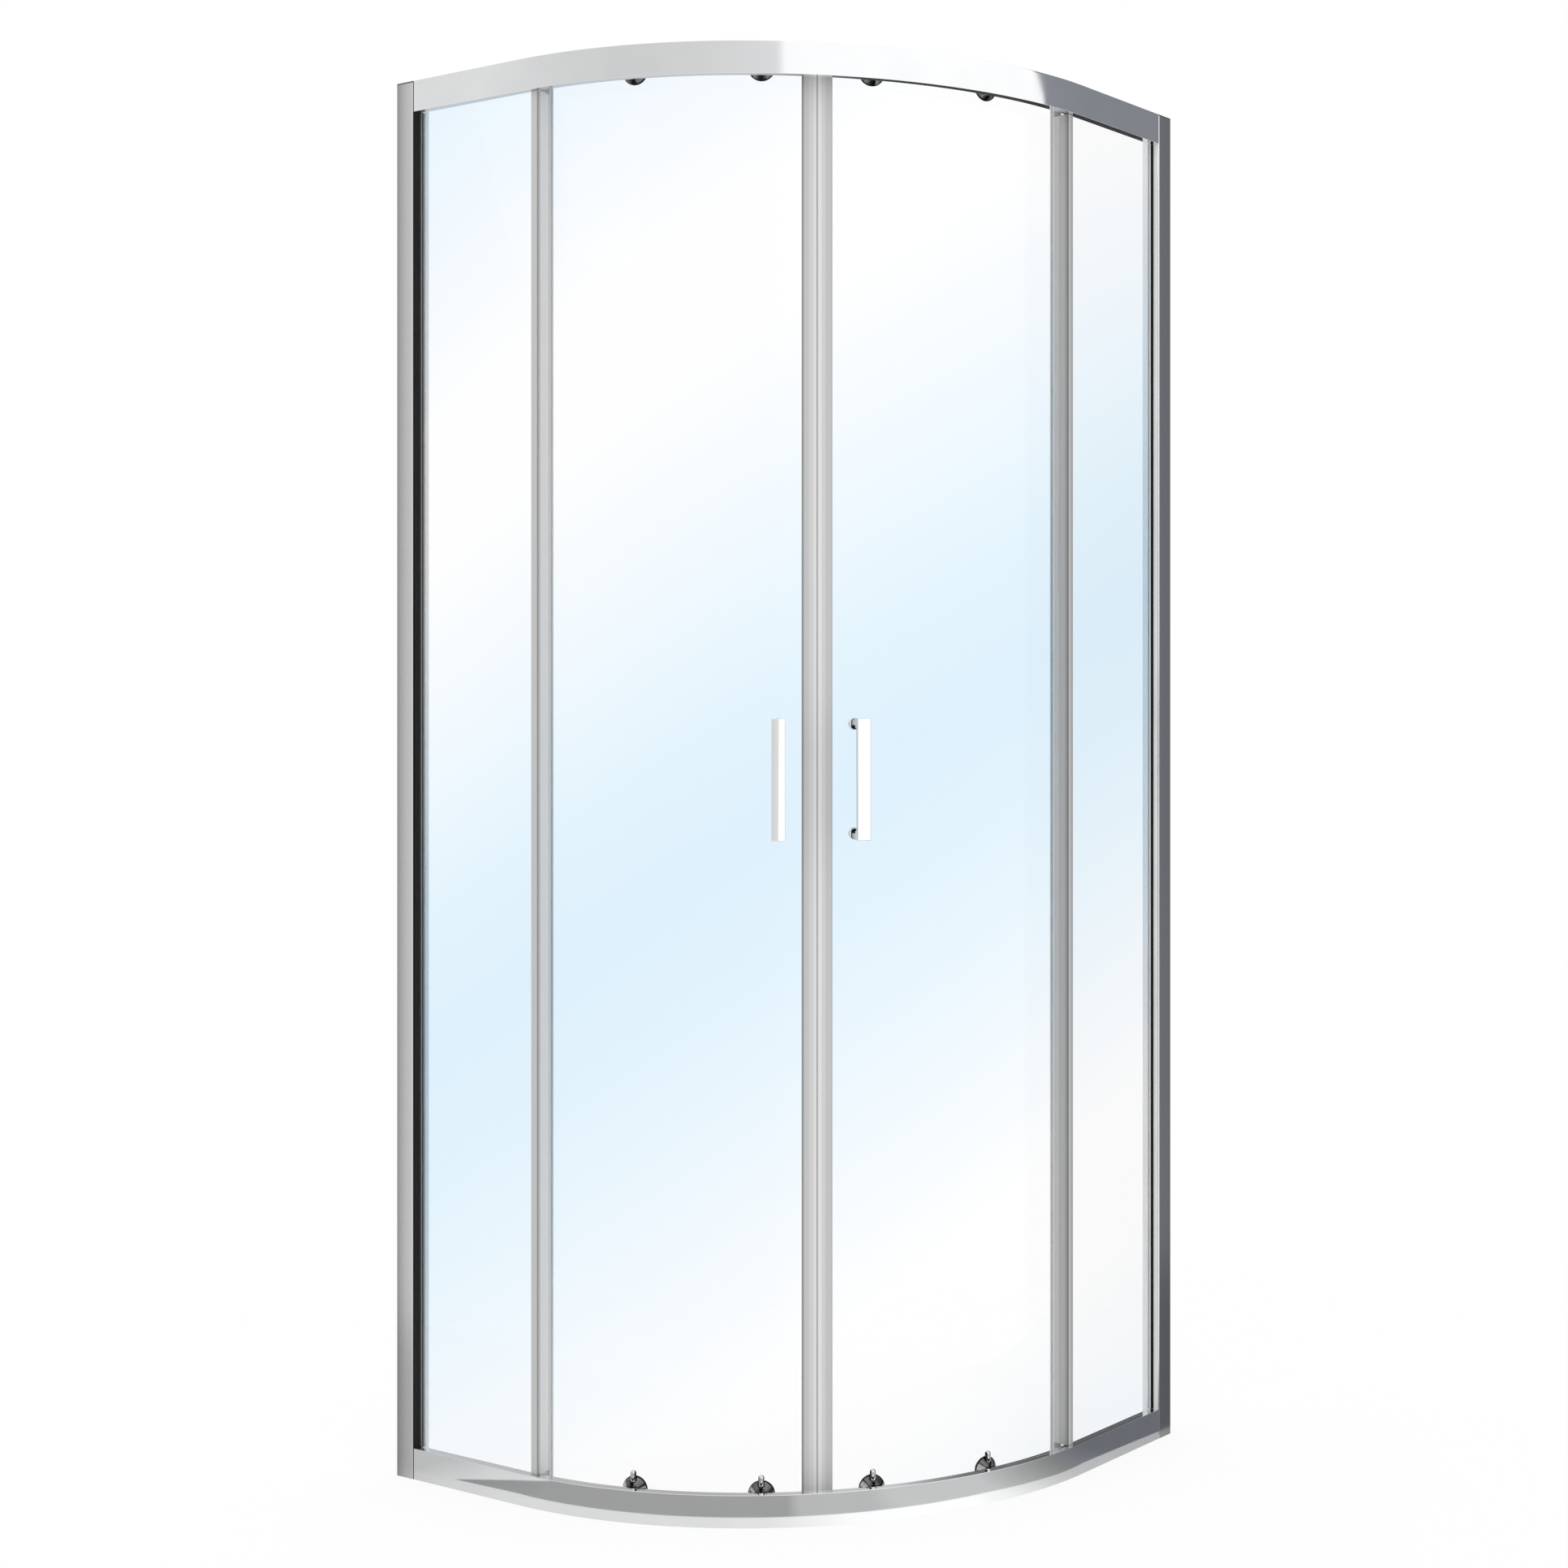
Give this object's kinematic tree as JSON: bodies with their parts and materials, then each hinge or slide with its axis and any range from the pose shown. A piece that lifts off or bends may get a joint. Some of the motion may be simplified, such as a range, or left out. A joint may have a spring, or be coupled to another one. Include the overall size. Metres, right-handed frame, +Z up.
{
  "type": "corner shower enclosure",
  "caption": "Quadrant corner shower enclosure: curved rails between wall profiles, flat fixed glass panels and curved sliding glass doors on rollers with release buttons.",
  "frame": {"origin": "middle of the square plan at floor level", "axes": "+Z up; the left wall is the plane at the lowest x and the back wall the plane at the highest y; the doors face +X and -Y, with the seam between them on the diagonal"},
  "size_m": [0.79, 0.79, 1.95],
  "materials": {
    "polished_aluminium": "polished",
    "chrome_plate": "mirror polished",
    "clear_glass": "clear",
    "grey_seal": "translucent soft vinyl",
    "black_rubber": "matt",
    "magnet_rubber": "matt",
    "clear_plastic": "translucent",
    "screw_steel": "plain",
    "spring_steel": "drawn wire",
    "white_nylon": "turned",
    "grey_plastic": "moulded"
  },
  "bodies": {
    "frame": {"bottom_rail": "polished_aluminium", "door_stops": "black_rubber", "fixed_edge_strip_left": "grey_seal", "fixed_edge_strip_right": "grey_seal", "fixed_glass_left": "clear_glass", "fixed_glass_right": "clear_glass", "glass_post_left": "polished_aluminium", "glass_post_right": "polished_aluminium", "post_gasket_left": "black_rubber", "post_gasket_right": "black_rubber", "post_screws": "screw_steel", "rail_screws": "screw_steel", "setting_strips": "black_rubber", "top_rail": "polished_aluminium", "wall_cap_left": "grey_plastic", "wall_cap_right": "grey_plastic", "wall_profile_left": "polished_aluminium", "wall_profile_right": "polished_aluminium"},
    "left_door": {"bottom_housings_left": "chrome_plate", "door_glass_left": "clear_glass", "glass_sleeves_left": "clear_plastic", "handle_left": "chrome_plate", "handle_pads_left": "clear_plastic", "handle_screws_left": "screw_steel", "magnet_seal_left": "grey_seal", "magnet_strip_left": "magnet_rubber", "rear_seal_left": "grey_seal", "release_spring_front_left": "spring_steel", "release_spring_rear_left": "spring_steel", "roller_nuts_left": "chrome_plate", "top_hubs_left": "chrome_plate", "top_wheel_screws_left": "screw_steel"},
    "top_wheel_rear_left_body": {"top_wheel_rear_left": "white_nylon"},
    "plunger_rear_left_body": {"release_plunger_rear_left": "chrome_plate"},
    "bottom_wheel_rear_left_body": {"bottom_wheel_rear_left": "white_nylon"},
    "top_wheel_front_left_body": {"top_wheel_front_left": "white_nylon"},
    "plunger_front_left_body": {"release_plunger_front_left": "chrome_plate"},
    "bottom_wheel_front_left_body": {"bottom_wheel_front_left": "white_nylon"},
    "right_door": {"bottom_housings_right": "chrome_plate", "door_glass_right": "clear_glass", "glass_sleeves_right": "clear_plastic", "handle_pads_right": "clear_plastic", "handle_right": "chrome_plate", "handle_screws_right": "screw_steel", "magnet_seal_right": "grey_seal", "magnet_strip_right": "magnet_rubber", "rear_seal_right": "grey_seal", "release_spring_front_right": "spring_steel", "release_spring_rear_right": "spring_steel", "roller_nuts_right": "chrome_plate", "top_hubs_right": "chrome_plate", "top_wheel_screws_right": "screw_steel"},
    "top_wheel_rear_right_body": {"top_wheel_rear_right": "white_nylon"},
    "plunger_rear_right_body": {"release_plunger_rear_right": "chrome_plate"},
    "bottom_wheel_rear_right_body": {"bottom_wheel_rear_right": "white_nylon"},
    "top_wheel_front_right_body": {"top_wheel_front_right": "white_nylon"},
    "plunger_front_right_body": {"release_plunger_front_right": "chrome_plate"},
    "bottom_wheel_front_right_body": {"bottom_wheel_front_right": "white_nylon"}
  },
  "joints": [
    {"name": "left_door_slide", "type": "hinge", "parent": "frame", "child": "left_door", "pos_m": [-0.155, 0.155, 0.975], "axis": [0, 0, -1], "range_deg": [0, 19]},
    {"name": "right_door_slide", "type": "hinge", "parent": "frame", "child": "right_door", "pos_m": [-0.155, 0.155, 0.975], "axis": [0, 0, 1], "range_deg": [0, 19]},
    {"name": "top_wheel_rear_left_spin", "type": "hinge", "parent": "left_door", "child": "top_wheel_rear_left_body", "pos_m": [0.00488, -0.349, 1.921], "axis": [0.3024, -0.9532, 0], "range_deg": [0, 1560]},
    {"name": "bottom_wheel_rear_left_spin", "type": "hinge", "parent": "plunger_rear_left_body", "child": "bottom_wheel_rear_left_body", "pos_m": [0.00488, -0.349, 0.029], "axis": [0.3024, -0.9532, 0], "range_deg": [-1560, 0]},
    {"name": "release_rear_left_press", "type": "slide", "parent": "left_door", "child": "plunger_rear_left_body", "axis": [0, 0, -1], "range_m": [0, 0.006], "stiffness_N_per_m": 600, "springref_m": -0.005, "deforming": ["release_spring_rear_left"]},
    {"name": "top_wheel_front_left_spin", "type": "hinge", "parent": "left_door", "child": "top_wheel_front_left_body", "pos_m": [0.16173, -0.26839, 1.921], "axis": [0.599, -0.8007, 0], "range_deg": [0, 1560]},
    {"name": "bottom_wheel_front_left_spin", "type": "hinge", "parent": "plunger_front_left_body", "child": "bottom_wheel_front_left_body", "pos_m": [0.16173, -0.26839, 0.029], "axis": [0.599, -0.8007, 0], "range_deg": [-1560, 0]},
    {"name": "release_front_left_press", "type": "slide", "parent": "left_door", "child": "plunger_front_left_body", "axis": [0, 0, -1], "range_m": [0, 0.006], "stiffness_N_per_m": 600, "springref_m": -0.005, "deforming": ["release_spring_front_left"]},
    {"name": "top_wheel_rear_right_spin", "type": "hinge", "parent": "right_door", "child": "top_wheel_rear_right_body", "pos_m": [0.349, -0.00488, 1.921], "axis": [0.9532, -0.3024, 0], "range_deg": [-1560, 0]},
    {"name": "bottom_wheel_rear_right_spin", "type": "hinge", "parent": "plunger_rear_right_body", "child": "bottom_wheel_rear_right_body", "pos_m": [0.349, -0.00488, 0.029], "axis": [0.9532, -0.3024, 0], "range_deg": [0, 1560]},
    {"name": "release_rear_right_press", "type": "slide", "parent": "right_door", "child": "plunger_rear_right_body", "axis": [0, 0, -1], "range_m": [0, 0.006], "stiffness_N_per_m": 600, "springref_m": -0.005, "deforming": ["release_spring_rear_right"]},
    {"name": "top_wheel_front_right_spin", "type": "hinge", "parent": "right_door", "child": "top_wheel_front_right_body", "pos_m": [0.26839, -0.16173, 1.921], "axis": [0.8007, -0.599, 0], "range_deg": [-1560, 0]},
    {"name": "bottom_wheel_front_right_spin", "type": "hinge", "parent": "plunger_front_right_body", "child": "bottom_wheel_front_right_body", "pos_m": [0.26839, -0.16173, 0.029], "axis": [0.8007, -0.599, 0], "range_deg": [0, 1560]},
    {"name": "release_front_right_press", "type": "slide", "parent": "right_door", "child": "plunger_front_right_body", "axis": [0, 0, -1], "range_m": [0, 0.006], "stiffness_N_per_m": 600, "springref_m": -0.005, "deforming": ["release_spring_front_right"]}
  ],
  "couplings": [
    {"joint": "top_wheel_rear_left_spin", "follows": "left_door_slide", "ratio": 81.346},
    {"joint": "bottom_wheel_rear_left_spin", "follows": "left_door_slide", "ratio": -81.346},
    {"joint": "top_wheel_front_left_spin", "follows": "left_door_slide", "ratio": 81.346},
    {"joint": "bottom_wheel_front_left_spin", "follows": "left_door_slide", "ratio": -81.346},
    {"joint": "top_wheel_rear_right_spin", "follows": "right_door_slide", "ratio": -81.346},
    {"joint": "bottom_wheel_rear_right_spin", "follows": "right_door_slide", "ratio": 81.346},
    {"joint": "top_wheel_front_right_spin", "follows": "right_door_slide", "ratio": -81.346},
    {"joint": "bottom_wheel_front_right_spin", "follows": "right_door_slide", "ratio": 81.346}
  ]
}
